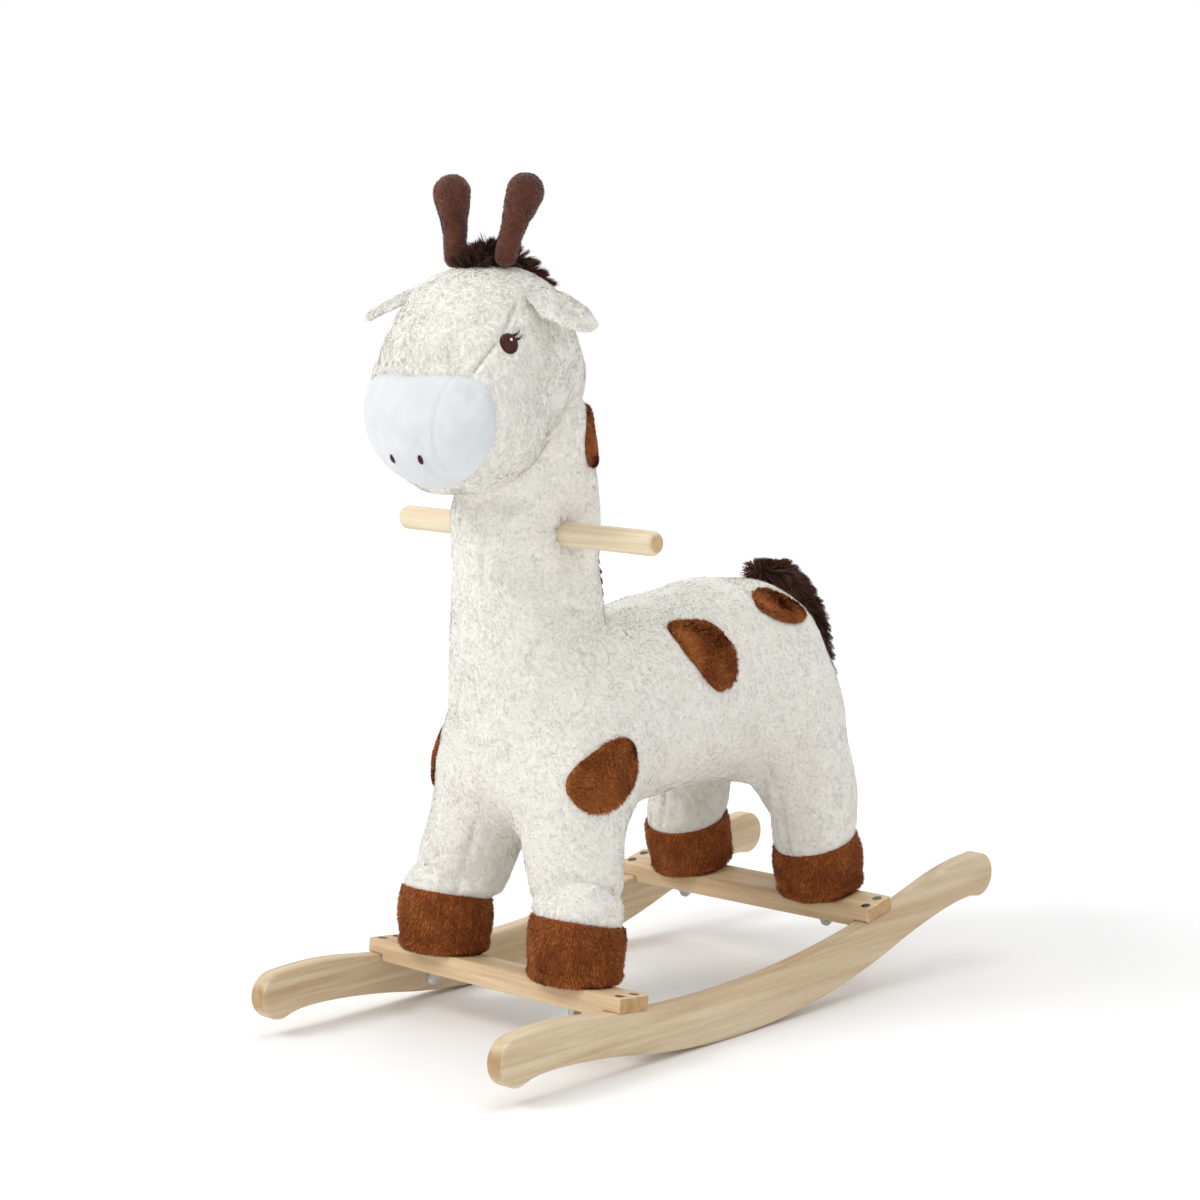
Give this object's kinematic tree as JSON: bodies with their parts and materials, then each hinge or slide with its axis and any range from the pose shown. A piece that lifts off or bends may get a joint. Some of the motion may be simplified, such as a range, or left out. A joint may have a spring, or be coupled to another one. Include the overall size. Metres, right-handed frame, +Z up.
{
  "type": "plush giraffe rocker",
  "caption": "Plush giraffe rocker: a stuffed animal on an inner wooden frame, carried by two crossbars on a pair of curved wooden rockers, with a dowel handle through the neck.",
  "frame": {"origin": "on the floor under the middle of the rockers", "axes": "+Z up, the animal faces -Y, its left side is +X, the handle lies along X"},
  "size_m": [0.28, 0.6142, 0.6743],
  "materials": {
    "rocker_wood": "satin",
    "bar_wood": "satin",
    "frame_timber": "matte",
    "plywood": "matte",
    "dowel_wood": "satin",
    "zinc_steel": "satin",
    "screw_steel": "satin",
    "stuffing": "matte",
    "cream_plush": "matte",
    "white_velour": "matte",
    "brown_plush": "matte",
    "dark_fur": "matte",
    "horn_velour": "matte",
    "embroidery": "satin"
  },
  "bodies": {
    "root": {"left_rocker": "rocker_wood", "right_rocker": "rocker_wood", "front_crossbar": "bar_wood", "rear_crossbar": "bar_wood", "front_crossbar_screws": "screw_steel", "rear_crossbar_screws": "screw_steel", "front_left_leg_post": "frame_timber", "front_right_leg_post": "frame_timber", "rear_left_leg_post": "frame_timber", "rear_right_leg_post": "frame_timber", "leg_studs": "zinc_steel", "stud_washers": "zinc_steel", "stud_cap_nuts": "zinc_steel", "shoulder_block": "frame_timber", "hip_block": "frame_timber", "spine_board": "plywood", "neck_board": "plywood", "post_screws": "screw_steel", "spine_screws": "screw_steel", "left_neck_bracket": "zinc_steel", "right_neck_bracket": "zinc_steel", "bracket_screws": "screw_steel", "handle_dowel": "dowel_wood", "handle_screw": "screw_steel", "body_stuffing": "stuffing", "body_cover": "cream_plush", "head_stuffing": "stuffing", "head_cover": "cream_plush", "muzzle_cover": "white_velour", "front_left_hoof": "brown_plush", "front_right_hoof": "brown_plush", "rear_left_hoof": "brown_plush", "rear_right_hoof": "brown_plush", "left_neck_patch": "brown_plush", "right_neck_patch": "brown_plush", "left_shoulder_patch": "brown_plush", "right_shoulder_patch": "brown_plush", "left_back_patch": "brown_plush", "right_back_patch": "brown_plush", "left_rump_patch": "brown_plush", "right_rump_patch": "brown_plush", "left_eye": "embroidery", "right_eye": "embroidery", "nostrils": "embroidery", "mane": "dark_fur"},
    "left_ear": {"left_ear": "cream_plush"},
    "right_ear": {"right_ear": "cream_plush"},
    "left_horn": {"left_horn": "horn_velour"},
    "right_horn": {"right_horn": "horn_velour"},
    "tail": {"tail": "dark_fur"}
  },
  "joints": [
    {"name": "left_ear_flop", "type": "hinge", "parent": "root", "child": "left_ear", "pos_m": [0.05624, -0.18863, 0.58686], "axis": [0.0698, -0.9948, -0.0748], "range_deg": [-6, 55], "stiffness_Nm_per_rad": 0.25},
    {"name": "right_ear_flop", "type": "hinge", "parent": "root", "child": "right_ear", "pos_m": [-0.0515, -0.19615, 0.5863], "axis": [-0.0698, 0.9948, 0.0748], "range_deg": [-6, 55], "stiffness_Nm_per_rad": 0.25},
    {"name": "left_horn_flex", "type": "hinge", "parent": "root", "child": "left_horn", "pos_m": [0.02689, -0.18603, 0.60511], "axis": [-0.0698, 0.9948, 0.0748], "range_deg": [-10, 25], "stiffness_Nm_per_rad": 0.5},
    {"name": "right_horn_flex", "type": "hinge", "parent": "root", "child": "right_horn", "pos_m": [-0.02299, -0.18951, 0.60484], "axis": [0.0698, -0.9948, -0.0748], "range_deg": [-10, 25], "stiffness_Nm_per_rad": 0.5},
    {"name": "tail_lift", "type": "hinge", "parent": "root", "child": "tail", "pos_m": [0, 0.14465, 0.34417], "axis": [1, 0, 0], "range_deg": [0, 60]}
  ]
}
